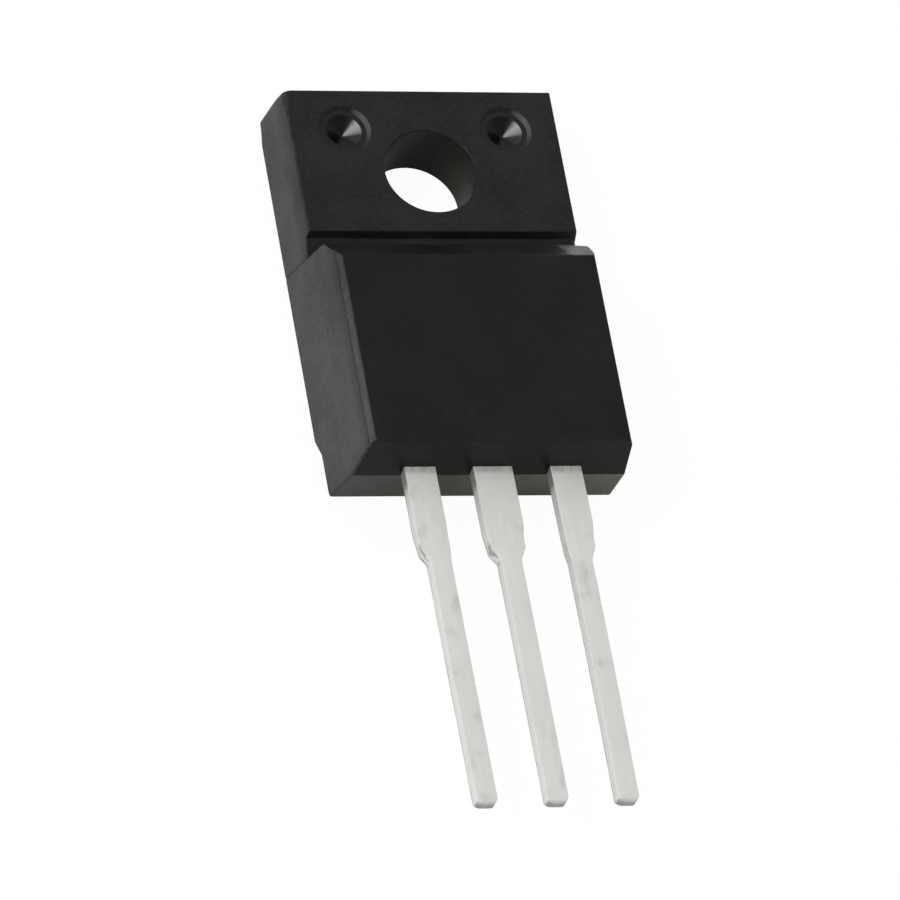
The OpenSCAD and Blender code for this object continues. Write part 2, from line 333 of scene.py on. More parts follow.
class Nodes(Graph):
    """One material, with the place and the normal of the surface that it covers."""

    def __init__(self, name: str) -> None:
        """Starts an empty material of that name."""
        self.material = bpy.data.materials.new(name)
        self.material.use_nodes = True
        super().__init__(self.material.node_tree)
        coordinates = self.add("ShaderNodeTexCoord")
        self.place = coordinates.outputs["Object"]
        self.normal = coordinates.outputs["Normal"]

    def millimetres(self) -> list[Socket]:
        """The three coordinates of the place in millimetres."""
        scaled = self.add("ShaderNodeVectorMath", {0: self.place, "Scale": 1 / MM}, operation="SCALE")
        return self.parts(scaled.outputs[0])

    def stretched(self, scale: Triple) -> Socket:
        """The place with its three axes scaled."""
        return self.add("ShaderNodeMapping", {"Vector": self.place, "Scale": scale}).outputs["Vector"]

    def noise(self, scale: float, detail: float = 3.0, roughness: float = 0.5,
              place: Socket | None = None) -> Socket:
        """A noise pattern whose grain is 1 / scale millimetres."""
        inputs = {"Vector": place or self.place, "Scale": scale / MM, "Detail": detail,
                  "Roughness": roughness}
        return self.add("ShaderNodeTexNoise", inputs).outputs["Fac"]

    def mix(self, share: Value, a: Value, b: Value) -> Socket:
        """A colour between two."""
        inputs = {"Factor": share, "A": a, "B": b}
        return self.add("ShaderNodeMix", inputs, data_type="RGBA").outputs["Result"]

    def bump(self, height: Value, depth: float, strength: Value = 1.0, under: Socket | None = None) -> Socket:
        """Small relief on top of another; depth is in millimetres."""
        inputs = {"Height": height, "Distance": depth * MM, "Strength": strength}
        if under is not None:
            inputs["Normal"] = under
        return self.add("ShaderNodeBump", inputs).outputs["Normal"]

    def closed(self, shader: bpy.types.Node) -> bpy.types.Material:
        """Shows a shader on the surface and gives the finished material."""
        self.add("ShaderNodeOutputMaterial", {"Surface": shader.outputs[0]})
        return self.material

    def surface(self, **values: Value) -> bpy.types.Material:
        """Closes the material with one general-purpose shader.

        Args:
            values: Socket values by socket name, with _ for a space.

        Returns:
            The finished material.
        """
        inputs = {key.replace("_", " "): value for key, value in values.items()}
        return self.closed(self.add("ShaderNodeBsdfPrincipled", inputs))


@dataclass(frozen=True)
class MouldingFinish:
    """Black moulding compound with a fine eroded texture.

    The walls that the mould draws along are painted greyer and warmer than the
    flat front as a painted reflection of the lit floor, and the tab is painted a
    little lighter than the block as light. The shoulder's slope and the band above
    the leads are painted blacker as shade, the band below the leads is painted
    lighter as light, most towards the right, and the pits carry painted shade and
    painted highlights.
    flat front, and the shoulder's slope and the band above the leads blacker.
    A band runs from where a zone has no share to where it has its whole share:
    in millimetres of place, or in one part of the normal if it is a facing.
    """

    block: Colour = (0.0080, 0.0080, 0.0081, 1)
    # Painted light: the tab's colour is lighter than the block's, where its front reflects more light.
    tab: Colour = (0.0155, 0.0155, 0.0156, 1)
    # Painted light and shade on the side walls: a painted reflection of the lit floor, painted shade towards
    # the front edges, and paler painted light on the riser.
    wall: Colour = (0.0480, 0.0480, 0.0482, 1)
    painted_wall_shade: Colour = (0.0320, 0.0320, 0.0321, 1)
    riser: Colour = (0.0640, 0.0640, 0.0642, 1)
    # Painted light on the band below the leads, paler towards the right; the band above the leads is painted
    # black as shade.
    under: Colour = (0.0300, 0.0300, 0.0232, 1)
    painted_rear_light: Colour = (0.0900, 0.0892, 0.0725, 1)
    bore: Colour = (0.0190, 0.0190, 0.0135, 1)
    groove: Colour = (0.0120, 0.0120, 0.0118, 1)
    # Painted highlight on the right end of the shoulder's slope.
    painted_slope_glint: Colour = (0.1000, 0.1000, 0.0940, 1)
    black: Colour = (0.0010, 0.0009, 0.0007, 1)
    # Painted highlights in the pits: on the facet and the piece of rim that face the lamp.
    painted_pit_highlight: Colour = (0.24, 0.24, 0.24, 1)
    painted_rim_highlight: Colour = (0.075, 0.075, 0.075, 1)
    tab_start: Band = (-3.6, -3.5)
    slope_facing: Band = (0.45, 0.6)
    slope_start: Band = (2.6, 2.9)
    slope_painted_shade: float = 0.6
    groove_foot: Band = (-3.50, -3.42)
    groove_mouth: Band = (-2.50, -2.55)
    groove_facing: Band = (0.1, 0.3)
    painted_glint_start: Band = (3.95, 4.25)
    painted_glint_wander: float = 0.5
    wall_facing: Band = (0.2, 0.75)
    end_facing: Band = (-0.80, -0.98)
    end_start: Band = (-11.5, -12.0)
    split: Band = (2.54, 2.60)
    painted_rear_light_start: Band = (-4.4, 1.4)
    edge_facing: Band = (-0.15, -0.40)
    edge_start: Band = (4.3, 4.35)
    crest_facing: Band = (0.05, 0.15)
    crest_start: Band = (4.50, 4.53)
    bore_facing: Band = (0.6, 0.3)
    bore_radius: float = 1.74
    tab_rim: Band = (1.2, 2.5)
    tab_rim_end: Band = (2.7, 2.6)
    tab_rim_start: Band = (-3.6, -2.8)
    block_rim: Band = (3.7, 4.26)
    riser_start: Band = (4.27, 4.34)
    mottle: Pair = (0.6, 0.4)
    blotch_range: Band = (0.35, 0.65)
    blotch_share: float = 0.55
    pit_x: float = 3.00
    pit_shift: float = 0.09
    pit_y: float = 1.74
    pit_radius: float = 0.72
    pit_rim: float = 0.98
    pit_edge: float = 0.03
    cone_share: float = 0.7
    ring_share: float = 0.3
    highlight_way: Pair = (-0.94, -0.34)
    shade_way: Pair = (0.88, -0.47)
    shade_facing: Band = (-0.1, 0.15)
    rim_highlight_facing: Band = (0.45, 0.72)
    pit_highlight_facing: Band = (0.42, 0.53)
    rough: float = 0.33
    rough_spread: Pair = (-0.03, 0.04)
    pit_rough: float = 0.20
    slope_rough: float = 0.26
    crest_rough: float = 0.65
    reflectance: float = 1.25
    grain_size: float = 0.055
    grain_depth: float = 0.006
    grain_strength: float = 0.8
    coarse_depth: float = 0.012
    coarse_strength: float = 0.5
    slope_calm: float = 0.7

    def material(self) -> bpy.types.Material:
        """Blotchy black with a sand-like bump, glossier in the two pits."""
        n = Nodes("moulding_compound_matte")
        x, y, z = n.millimetres()
        to_side, to_end, to_front = n.parts(n.normal)
        blotch = n.noise(0.35, 4.0)
        speck = n.noise(6.0, 2.0)
        coarse = n.noise(2.2, 2.0)
        on_slope = n.product(n.ramp(to_end, self.slope_facing), n.ramp(z, self.slope_start))
        in_groove = n.product(n.ramp(y, self.groove_foot), n.ramp(y, self.groove_mouth),
                              n.ramp(to_front, self.groove_facing))
        ragged = n.total(x, n.product(coarse, self.painted_glint_wander))
        on_edge = n.product(n.ramp(to_end, self.edge_facing), n.ramp(z, self.edge_start))
        on_end = n.product(n.ramp(to_end, self.end_facing), n.ramp(y, self.end_start))
        in_bore = n.product(self.closeness(n, x, y, self.bore_radius), n.ramp(to_front, self.bore_facing))
        # Painted light on the band below the leads, paler towards the right.
        under = n.mix(n.ramp(x, self.painted_rear_light_start), self.under, self.painted_rear_light)

        # Painted light: the tab is coloured lighter than the block.
        colour = n.mix(n.ramp(y, self.tab_start), self.block, self.tab)
        # Painted shade: the shoulder's slope is darkened towards black.
        colour = n.mix(n.product(on_slope, self.slope_painted_shade), colour, self.black)
        colour = n.mix(in_groove, colour, self.groove)
        # Painted highlight: the right end of the shoulder's slope is paler, standing in for a grazing
        # reflection.
        colour = n.mix(n.product(on_slope, n.ramp(ragged, self.painted_glint_start)), colour, self.painted_slope_glint)
        # Painted reflection: the walls are coloured greyer than the front, with painted shade and painted
        # light laid on them.
        on_wall = n.ramp(n.math("ABSOLUTE", to_side), self.wall_facing)
        colour = n.mix(on_wall, colour, self.painted_wall_light_and_shade(n, y, z))
        # Painted light: the rounded edge above the band is given the tab's lighter colour.
        colour = n.mix(on_edge, colour, self.tab)
        # Painted shade and light on the lower end: black above the split, the painted lighter colour below
        # it.
        colour = n.mix(on_end, colour, n.mix(n.ramp(z, self.split), under, self.black))
        colour = n.mix(in_bore, colour, self.bore)
        mixed = n.total(n.product(blotch, self.mottle[0]), n.product(speck, self.mottle[1]))
        colour = n.mix(n.ramp(mixed, self.blotch_range, (0.0, self.blotch_share)), colour, self.black)

        beside = n.math("ABSOLUTE", n.math("SUBTRACT", x, self.pit_shift))
        beside = n.math("SUBTRACT", beside, self.pit_x)
        above = n.math("SUBTRACT", y, self.pit_y)
        sunk = self.closeness(n, beside, above, self.pit_radius)
        wide = self.closeness(n, beside, above, self.pit_rim)
        # Painted shade and painted highlights in the pits.
        colour = self.pit_painted_light_and_shade(n, colour, sunk, wide)

        low, high = self.rough_spread
        crest = n.product(n.ramp(to_end, self.crest_facing), n.ramp(z, self.crest_start))
        rough = n.total(n.ramp(blotch, (0.3, 0.7), (self.rough + low, self.rough + high)),
                        n.product(sunk, self.pit_rough - self.rough),
                        n.product(on_slope, self.slope_rough - self.rough),
                        n.product(crest, self.crest_rough - self.rough))
        grain = n.noise(1 / self.grain_size, 3.0, 0.6)
        calm = n.math("SUBTRACT", 1.0, n.product(on_slope, self.slope_calm))
        relief = n.bump(grain, self.grain_depth, n.product(calm, self.grain_strength))
        relief = n.bump(coarse, self.coarse_depth, n.product(calm, self.coarse_strength), relief)
        return n.surface(Base_Color=colour, Roughness=rough, IOR=self.reflectance, Normal=relief)

    def closeness(self, n: Nodes, across: Value, along: Value, radius: float) -> Socket:
        """1 within a radius of an upright axis, and 0 a little beyond it."""
        squares = n.total(n.product(across, across), n.product(along, along))
        return n.ramp(n.math("SQRT", squares), (radius + self.pit_edge, radius))

    def painted_wall_light_and_shade(self, n: Nodes, y: Value, z: Value) -> Socket:
        """The side walls' painted reflection of the lit floor, with painted shade towards the front edges and
        paler painted light on the riser above the ledge.
        """
        on_tab = n.product(n.ramp(z, self.tab_rim), n.ramp(z, self.tab_rim_end),
                           n.ramp(y, self.tab_rim_start, (0.0, 0.8)))
        on_block = n.ramp(z, self.block_rim, (0.0, 0.9))
        colour = n.mix(n.math("MAXIMUM", on_tab, on_block), self.wall, self.painted_wall_shade)
        return n.mix(n.ramp(z, self.riser_start), colour, self.riser)

    def pit_painted_light_and_shade(self, n: Nodes, colour: Value, sunk: Value, wide: Value) -> Socket:
        """Pits with painted shade on the side that faces away from the lamp, and a painted highlight on one
        facet and on a piece of each rim.

        Args:
            n: The material's nodes.
            colour: The colour outside the pits.
            sunk: 1 in the cones.
            wide: 1 in the cones and the rings round them.

        Returns:
            The colour with the pits in it.
        """
        to_side, to_end, _ = n.parts(n.normal)
        bright, dark = [n.total(n.product(to_side, way[0]), n.product(to_end, way[1]))
                        for way in (self.highlight_way, self.shade_way)]
        inside = n.total(n.product(sunk, self.cone_share), n.product(wide, self.ring_share))
        ring = n.math("SUBTRACT", wide, sunk)
        # Painted shade on the pit walls that face away from the lamp.
        colour = n.mix(n.product(inside, n.ramp(dark, self.shade_facing)), colour, self.black)
        # Painted highlights on the rim and the cone facet that face the lamp.
        colour = n.mix(n.product(ring, n.ramp(bright, self.rim_highlight_facing)), colour, self.painted_rim_highlight)
        return n.mix(n.product(sunk, n.ramp(bright, self.pit_highlight_facing)), colour, self.painted_pit_highlight)


@dataclass(frozen=True)
class TinFinish:
    """Matte tin plating on a stamped copper lead, with rolling marks and stains, painted light near the body
    and on the side walls, and painted shade on the sides at the root.

    Bands are as in the moulding's finish, but across nick_fade and tip_height
    a mark weakens from the first of its shares to the second.
    """

    pale: Colour = (0.705, 0.712, 0.680, 1)
    # Painted light: a pale colour laid near the body and on the side walls.
    painted_light: Colour = (0.95, 0.95, 0.92, 1)
    sheared: Colour = (0.30, 0.30, 0.28, 1)
    # Painted shade on the sides at the root, and also the colour of the real resin bleed.
    painted_shade_and_resin: Colour = (0.34, 0.34, 0.31, 1)
    stained: Colour = (0.52, 0.52, 0.49, 1)
    rolling: Triple = (1.0, 0.22, 1.0)
    grain_way: Triple = (1.0, 0.5, 1.0)
    stain_range: Band = (0.56, 0.72)
    painted_light_start: Band = (-13.8, -12.5)
    side_facing: Band = (0.5, 0.8)
    torn_start: Band = (2.68, 2.60)
    root_start: Band = (-13.5, -13.0)
    resin_start: Band = (-12.78, -12.60)
    nick_start: Band = (-15.3, -15.6)
    nick_end: Band = (-16.3, -16.2)
    nick_fade: Band = (1.2, 1.8)
    nick_shares: Pair = (0.65, 0.2)
    tip_facing: Band = (-0.4, -0.8)
    tip_start: Band = (-25.2, -25.3)
    tip_height: Band = (2.80, 3.02)
    tip_shares: Pair = (0.85, 0.15)
    edge_facing: Band = (0.10, 0.35)
    edge_end: Band = (0.95, 0.75)
    edge_dullness: float = 0.25
    rough: float = 0.42
    rough_spread: Pair = (-0.05, 0.08)
    metal: float = 0.5

    def material(self) -> bpy.types.Material:
        """Soft grey metal, cloudy, with faint marks along its length."""
        n = Nodes("tin_matte")
        x, y, z = n.millimetres()
        to_side, to_end, _ = n.parts(n.normal)
        sideways = n.math("ABSOLUTE", to_side)
        along = n.stretched(self.rolling)
        cloud = n.noise(1.3, 4.0, place=along)
        mark = n.noise(5.0, 3.0, 0.6, along)
        stain = n.ramp(n.noise(1.1, 2.0), self.stain_range)
        share = n.total(n.ramp(cloud, (0.35, 0.7), (0.0, 0.15)), n.ramp(mark, (0.4, 0.7), (0.0, 0.16)),
                        n.product(stain, mark, 0.9))
        on_side = n.ramp(sideways, self.side_facing)
        torn = n.product(on_side, n.ramp(z, self.torn_start), n.ramp(mark, (0.3, 0.6), (0.3, 1.0)))
        # Painted shade on the lead's sides next to the body.
        root = n.product(on_side, n.ramp(y, self.root_start))
        resin = n.product(n.ramp(y, self.resin_start), n.ramp(mark, (0.35, 0.6), (0.1, 0.5)))
        nicked = n.product(n.ramp(y, self.nick_start), n.ramp(y, self.nick_end), on_side,
                           n.ramp(mark, (0.42, 0.55)), n.ramp(x, self.nick_fade, self.nick_shares))
        cut_tip = n.product(n.ramp(to_end, self.tip_facing), n.ramp(y, self.tip_start),
                            n.ramp(z, self.tip_height, self.tip_shares))

        colour = n.mix(share, self.pale, self.stained)
        # Painted light near the body and on the side walls, and painted shade on the sides at the root, laid
        # among the real marks.
        for zone, shade in ((n.ramp(y, self.painted_light_start, (0.0, 0.66)), self.painted_light),
                            (n.product(on_side, 0.4), self.painted_light), (torn, self.sheared),
                            (root, self.painted_shade_and_resin), (resin, self.painted_shade_and_resin), (nicked, self.sheared),
                            (cut_tip, self.sheared)):
            colour = n.mix(zone, colour, shade)

        low, high = self.rough_spread
        on_edge = n.product(n.ramp(sideways, self.edge_facing), n.ramp(sideways, self.edge_end))
        rough = n.total(n.ramp(mark, (0.3, 0.7), (self.rough + low, self.rough + high)),
                        n.product(on_edge, self.edge_dullness))
        grain = n.noise(14.0, 3.0, 0.6, n.stretched(self.grain_way))
        relief = n.bump(cloud, 0.008, 0.5, n.bump(grain, 0.002, 0.6))
        return n.surface(Base_Color=colour, Metallic=self.metal, Roughness=rough, Normal=relief)


@dataclass(frozen=True)
class MetalFinish:
    """A plain inner metal: solder or bond wire."""

    name: str
    colour: Colour
    shade: Colour
    rough: float
    rough_spread: float = 0.06

    def material(self) -> bpy.types.Material:
        """Cloudy metal with a fine grain."""
        n = Nodes(self.name)
        cloud = n.noise(4.0, 4.0)
        colour = n.mix(n.ramp(cloud, (0.35, 0.65)), self.colour, self.shade)
        rough = n.ramp(cloud, (0.3, 0.7), (self.rough - self.rough_spread, self.rough + self.rough_spread))
        relief = n.bump(n.noise(30.0, 2.0), 0.002, 0.6)
        return n.surface(Base_Color=colour, Metallic=1.0, Roughness=rough, Normal=relief)


@dataclass(frozen=True)
class SiliconFinish:
    """The smooth lapped face of a silicon die, with its metal pads."""

    colour: Colour = (0.09, 0.10, 0.13, 1)
    pad: Colour = (0.62, 0.63, 0.66, 1)
    pad_start: Band = (2.06, 2.085)
    pad_end: Band = (1.6, 1.55)

    def material(self) -> bpy.types.Material:
        """Dark grey-blue crystal under a pale metal face."""
        n = Nodes("silicon_die")
        x, _, z = n.millimetres()
        inner = n.ramp(n.math("ABSOLUTE", x), self.pad_end)
        cloud = n.ramp(n.noise(3.0, 3.0), (0.35, 0.65), (0.75, 1.0))
        colour = n.mix(n.product(n.ramp(z, self.pad_start), inner, cloud), self.colour, self.pad)
        relief = n.bump(n.noise(20.0, 2.0), 0.001, 0.5)
        return n.surface(Base_Color=colour, Metallic=0.8, Roughness=0.25, Normal=relief)


# The moulded case


@dataclass(frozen=True)
class SideCorners:
    """Corner radii of one long side of the case, in millimetres.

    Args:
        plan: Upright corner at the top of the tab.
        edge: Edge between the wall and the tab's front.
        top_edge: The same edge near the top of the tab.
        heel: Edge between the wall and the back.
        top_heel: The same edge near the top of the tab.
        groove: Edge between the wall and the groove.
        shoulder: Upright corner at the block's shoulder.
        slant: How far the shoulder falls back before that corner.
        foot: Upright corner at the block's lower end.
        ledge: Width of the ledge under the block's front.
        front: Edge between the wall and the block's front.
        tab_bend: How far the tab's wall draws in towards its front.
        block_bend: How far the block's wall draws in towards the ledge.
    """

    plan: float
    edge: float
    top_edge: float
    heel: float
    top_heel: float
    groove: float
    shoulder: float
    slant: float
    foot: float
    ledge: float
    front: float
    tab_bend: float
    block_bend: float


@dataclass
class Case:
    """The moulding: a thin tab with a hole and two pits, a shoulder and a block.

    The side outline is carried along the part: at every station the height of
    the front and of the back close a ring with the two drafted walls.
    """

    bottom: float = 12.50
    tab_top: float = 3.58
    tab_front: float = 2.54
    front: float = 4.60
    parting: float = 2.57
    half_back: float = 5.20
    half_parting: float = 4.998
    ledge: float = 4.24
    ledge_step: float = 0.03
    half_ledge: float = 4.806
    half_front: float = 4.672
    wall_radii: tuple[float, ...] = (0, 0.05, 0.03, 0.02, 0)
    bend_start: float = 1.60
    block_bend_start: float = 3.70
    side_draft: float = math.tan(math.radians(4.5))
    tab_draft: float = math.tan(math.radians(3.7))
    bottom_draft: float = math.tan(math.radians(5.7))
    bottom_back_draft: float = math.tan(math.radians(10.8))
    left: SideCorners = SideCorners(0.17, 0.08, 0.22, 0.05, 0.26, 0.04, 0.08, 0.0, 0.12, 0.016, 0.07,
                                    0.10, 0.029)
    right: SideCorners = SideCorners(0.04, 0.06, 0.05, 0.05, 0.05, 0.28, 0.16, 0.12, 0.02, 0.0, 0.03,
                                     0.0, 0.0)
    corner_places: tuple[float, ...] = (-3.4, -2.7, -2.45, 2.3, 3.1)
    heel_places: Pair = (2.6, 3.2)
    largest_round: float = 0.4
    shoulder_start: float = 2.99
    shoulder_lean: float = math.tan(math.radians(11))
    shoulder_slant: float = 8.0
    groove_foot_y: float = -3.398
    groove_floor: float = 2.10
    crease_depth: float = 0.022
    crease_width: float = 0.035
    crease_fade: float = 0.25
    slide_places: Pair = (-4.4, -2.45)
    hole_radius: float = 1.70
    hole_lip: float = 0.05
    pit_x: float = 3.00
    pit_shift: float = 0.09
    pit_y: float = 1.74
    pit_ring_radius: float = 0.97
    pit_ring_depth: float = 0.14
    pit_ring_slant: float = 0.13
    pit_radius: float = 0.66
    pit_tip_radius: float = 0.07
    pit_depth: float = 0.36
    plate_half: float = 4.50
    plate_split: float = 1.83
    plate_low: float = -2.40
    plate_high: float = 3.05
    plate_spacing: float = 0.109
    plate_gap: float = 0.03
    outer_columns: int = 17
    inner_columns: int = 33
    shoulder_band: Band = (-3.80, -3.40)
    shoulder_spacing: float = 0.02
    level_spacing: float = 0.15
    spacing: float = 0.16
    finish: MouldingFinish = field(default_factory=MouldingFinish)

    def side_outline(self) -> Array:
        """The rounded outline seen from the side, as a ring of y and z."""
        corners = np.array([
            # The tab from back to front, and the groove: y, z and radius.
            (self.tab_top, 0.0, 0.06), (3.375, self.tab_front, 0.09), (-2.51, self.tab_front, 0.05),
            (-2.67, 2.27, 0.05), (self.groove_foot_y, self.groove_floor, 0.05),
            # The shoulder's crest, its bevel and the front.
            (-3.676, 3.53, 0.14), (-4.78, self.front, 0.07), (-12.297, self.front, 0.05),
            # The lower end and the recess on the back.
            (-self.bottom, self.parting, 0.03), (-12.082, 0.38, 0.05), (-10.42, 0.38, 0.15),
            (-9.66, 0.0, 0.2),
        ])
        return rounded_line(corners[:, :2], corners[:, 2], ring=True)

    def branches(self) -> tuple[Array, Array]:
        """The front and the back of the side outline, each from top to bottom."""
        ring = self.side_outline()
        ring = np.roll(ring, -int(ring[:, 0].argmax()), axis=0)
        low = int(ring[:, 0].argmin())
        back = np.concatenate([ring[low:], ring[:1]])[::-1]
        return finer_line(ring[: low + 1], self.spacing), finer_line(back, self.spacing)

    def half_width(self, y: Array, z: Array, corners: SideCorners) -> Array:
        """Half the width of the case at the given places.

        The walls lean in from the back to the front. A hair's breadth of ledge
        runs along the block just under its front, and a short riser stands on
        it. A fine crease marks the foot of the shoulder.

        Args:
            y: Places along the part.
            z: Heights, in the same shape.
            corners: Corner radii of this side.

        Returns:
            Half widths in the same shape.
        """
        line = rounded_line(
            np.array([(0.0, self.half_back), (self.parting, self.half_parting), (self.ledge, self.half_ledge),
                      (self.ledge + self.ledge_step, self.half_ledge - corners.ledge),
                      (self.front, self.half_front)]),
            np.array(self.wall_radii))
        away = (y + self.shoulder_start + self.shoulder_lean * z) / self.crease_width
        on_tab = np.clip(0.5 + away, 0, 1)
        wall = np.interp(z, line[:, 0], line[:, 1])
        wall = wall + on_tab * (self.side_draft - self.tab_draft) * np.minimum(z, self.tab_front)
        wall = wall - on_tab * corners.tab_bend * self.bend(z, self.bend_start, self.tab_front)
        wall = wall - (1 - on_tab) * corners.block_bend * self.bend(z, self.block_bend_start, self.ledge)
        wall = wall - self.inset(self.tab_top - self.side_draft * z - y, corners.plan)
        depth = -self.shoulder_start - self.shoulder_lean * z - y
        slant = self.shoulder_slant * np.clip(corners.slant - depth, 0, corners.slant)
        on_block = (z > self.groove_floor) & (y < self.groove_foot_y + 0.01)
        wall = wall - np.where(on_block, self.inset(depth, corners.shoulder) + slant, 0)
        end = np.where(z > self.parting, self.bottom_draft * (z - self.parting),
                       self.bottom_back_draft * (self.parting - z))
        wall = wall - self.inset(y + self.bottom - end, corners.foot)
        fade = np.clip((self.groove_floor + self.crease_fade - z) / self.crease_fade, 0, 1)
        return wall - self.crease_depth * np.exp(-(away**2)) * fade

    @staticmethod
    def bend(z: Array, start: float, end: float) -> Array:
        """Rises from 0 to 1 between two heights as the square of the way."""
        return np.clip((z - start) / (end - start), 0, 1) ** 2

    @staticmethod
    def inset(depth: Array, radius: float) -> Array:
        """How far a rounded corner draws in at a depth d from the end wall.

        Within its radius r this is r - sqrt(r^2 - (r - d)^2).
        """
        short = np.clip(radius - depth, 0, radius)
        return radius - np.sqrt(np.maximum(radius**2 - short**2, 0))

    def stations(self, front: Array, back: Array) -> Array:
        """Places along the part at which the ring is worked out, top first."""
        crease = self.groove_foot_y + self.crease_width * np.linspace(-2.5, 2.5, 11)
        shoulder = np.arange(*self.shoulder_band, self.shoulder_spacing)
        plate = np.arange(self.plate_low, self.plate_high + HAIR, self.plate_spacing)
        own = np.concatenate([front[:, 0], back[:, 0]])
        own = own[(own < self.plate_low - self.plate_gap) | (own > self.plate_high + self.plate_gap)]
        both = np.concatenate([own, crease, shoulder, plate, [self.plate_low, self.plate_high]])
        return np.unique(np.round(both, STATION_DECIMALS))[::-1]

    def columns(self) -> Array:
        """Places across the front and back that all stations share."""
        outer = np.linspace(self.plate_split, self.plate_half, self.outer_columns)
        inner = np.linspace(-self.plate_split, self.plate_split, self.inner_columns)
        return np.unique(np.round(np.concatenate([-outer, inner, outer]), 6))

    def shell(self) -> tuple[Surface, Array, Array]:
        """The outside, open where the hole and the pits come.

        Every station is a ring: the back from right to left, the left wall up,
        the front from left to right and the right wall down, with a quarter
        round at each corner. Below the groove the stations slide along the
        part by the lean of the shoulder, so that one of them follows the fine
        crease between the tab and the block.

        Returns:
            The surface, the columns and the stations of the open plates.
        """
        front, back = self.branches()
        y = self.stations(front, back)
        z_front = np.interp(-y, -front[:, 0], front[:, 1])
        z_back = np.interp(-y, -back[:, 0], back[:, 1])
        z_front[[0, -1]] = z_back[[0, -1]] = (z_front[[0, -1]] + z_back[[0, -1]]) / 2
        height = np.maximum(z_front - z_back, 0)
        hold = np.minimum(HOLD, 0.05 * height)
        slide = np.interp(y, [self.slide_places[0], self.groove_foot_y, self.slide_places[1]], [0, 1, 0])
        levels = np.unique(np.concatenate([
            np.arange(0, self.front, self.level_spacing), self.parting + np.linspace(-0.06, 0.06, 5),
            self.ledge + np.linspace(-0.03, 0.05, 9)]))

        def slid(z: Array) -> Array:
            """Places along the part of points at these heights, per station."""
            column = (-1, *[1] * (z.ndim - 1))
            shift = self.shoulder_lean * np.maximum(self.groove_floor - z, 0)
            return y.reshape(column) + slide.reshape(column) * shift

        def wall(corners: SideCorners) -> Array:
            """One wall from the back to the front, with a quarter round at both ends."""
            radii = [corners.front, corners.groove, corners.edge, corners.edge, corners.top_edge]
            corner = np.minimum(np.interp(y, self.corner_places, radii), self.largest_round * height)
            heel = np.interp(y, self.heel_places, [corners.heel, corners.top_heel])
            heel = np.minimum(heel, self.largest_round * height)
            lows = (z_back + heel + hold)[:, None]
            highs = np.maximum((z_front - corner - hold)[:, None], lows)
            rows = np.concatenate([lows, np.clip(levels[None, :], lows, highs), highs], axis=1)

            def at(z: Array) -> Array:
                """Half width and height at one height per station."""
                return np.stack([self.half_width(slid(z), z, corners), z], axis=-1)

            low = at(z_back)
            top = at(z_front)
            heel_arc = circle_arcs(low - np.stack([heel, 0 * heel], 1), low, at(z_back + heel), ARC_STEPS)
            top_arc = circle_arcs(at(z_front - corner), top, top - np.stack([corner, 0 * corner], 1),
                                  ARC_STEPS)
            inward = np.stack([hold, 0 * hold], 1)[:, None]
            return np.concatenate([heel_arc[:, :1] - inward, heel_arc, at(rows), top_arc,
                                   top_arc[:, -1:] - inward], axis=1)

        left = wall(self.left)
        right = wall(self.right)
        across = self.columns()
        outer = np.clip((np.abs(across) - self.plate_split) / (self.plate_half - self.plate_split), 0, 1)

        def face(z: Array, end: int) -> Array:
            """The shared columns of one face, drawn in where a wall comes inside the outermost one."""
            reach = np.where(across < 0, left[:, end, :1], right[:, end, :1]) - HOLD
            x = across - np.sign(across) * outer * np.maximum(self.plate_half - reach, 0)
            return np.stack([x, np.broadcast_to(z[:, None], x.shape)], axis=2)

        ring = np.concatenate([face(z_back, 0)[:, ::-1], left * np.array([-1.0, 1.0]),
                               face(z_front, -1), right[:, ::-1]], axis=1)
        grid = np.stack([ring[:, :, 0], slid(ring[:, :, 1]), ring[:, :, 1]], axis=2)
        in_plate = ((y[:-1] <= self.plate_high + HAIR) & (y[1:] >= self.plate_low - HAIR))[:, None]
        number = np.arange(ring.shape[1])
        first = len(across) + left.shape[1]
        on_front = (number >= first) & (number < first + len(across) - 1)
        mids = np.flatnonzero(np.abs(across[::-1]) <= self.plate_split + HAIR)
        on_back = (number >= mids[0]) & (number < mids[-1])
        keep = ~(in_plate & (on_front | on_back)[None, :])
        plate = y[(y <= self.plate_high + HAIR) & (y >= self.plate_low - HAIR)][::-1]
        return grid_surface(grid, wrap=True, keep=keep), across, plate

    def hole_profile(self) -> Array:
        """Radius and height down the mounting hole, rounded at both mouths."""
        r, lip = self.hole_radius, self.hole_lip
        line = rounded_line(
            np.array([(r + lip + 0.01, self.tab_front), (r, self.tab_front), (r, 0), (r + lip + 0.01, 0)]),
            np.array([0, lip, lip, 0]))
        line = line[1:-1]
        return finer_line(line[line[:, 0] <= r + lip + HAIR], 0.2)

    def pit_profile(self) -> Array:
        """Radius and height into a pit: a shallow ring, then a cone."""
        mouth = self.pit_ring_radius
        floor = self.tab_front - self.pit_ring_depth
        corners = np.array([
            (mouth + 0.05, self.tab_front), (mouth, self.tab_front), (mouth - self.pit_ring_slant, floor),
            (self.pit_radius, floor), (self.pit_tip_radius, floor - self.pit_depth),
            (0, floor - self.pit_depth),
        ])
        line = rounded_line(corners, np.array([0, 0.03, 0.02, 0.025, 0.02, 0]), 4)
        return finer_line(line[line[:, 0] <= mouth + 0.03 + HAIR], 0.08)

